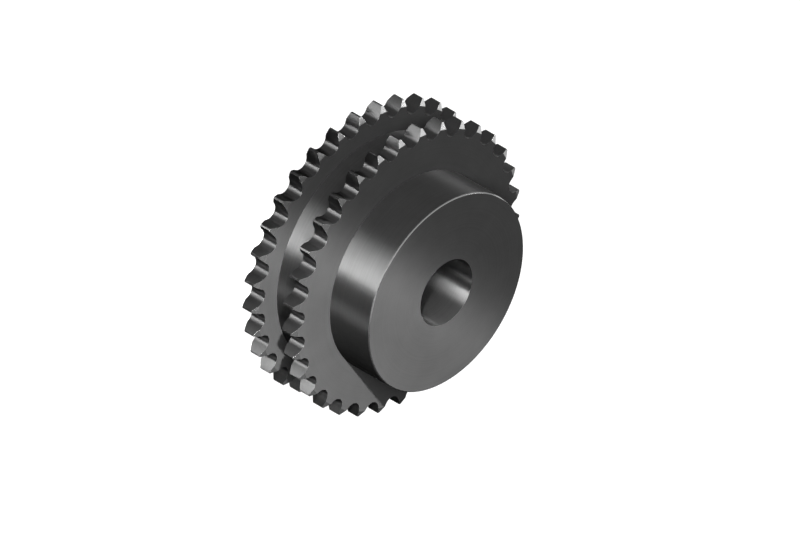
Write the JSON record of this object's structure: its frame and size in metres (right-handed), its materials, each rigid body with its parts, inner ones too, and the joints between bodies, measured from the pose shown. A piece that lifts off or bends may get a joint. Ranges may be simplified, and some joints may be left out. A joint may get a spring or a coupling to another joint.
{
  "type": "chain sprocket",
  "caption": "One-piece steel sprocket with a pair of spaced toothed discs for separate single-strand roller chains, a solid core between them, a wide hub on one side and a plain through bore.",
  "frame": {"origin": "on the bore's axis, in the plane of the back disc's back face", "axes": "+Z along the bore's axis, from the back face towards the hub's end face; +X through the middle of a tooth gap on both discs"},
  "size_m": [0.2777, 0.278, 0.1114],
  "materials": {
    "steel": "black-oxide machined steel with a low sheen"
  },
  "bodies": {
    "root": {"sprocket": "steel"}
  },
  "joints": []
}
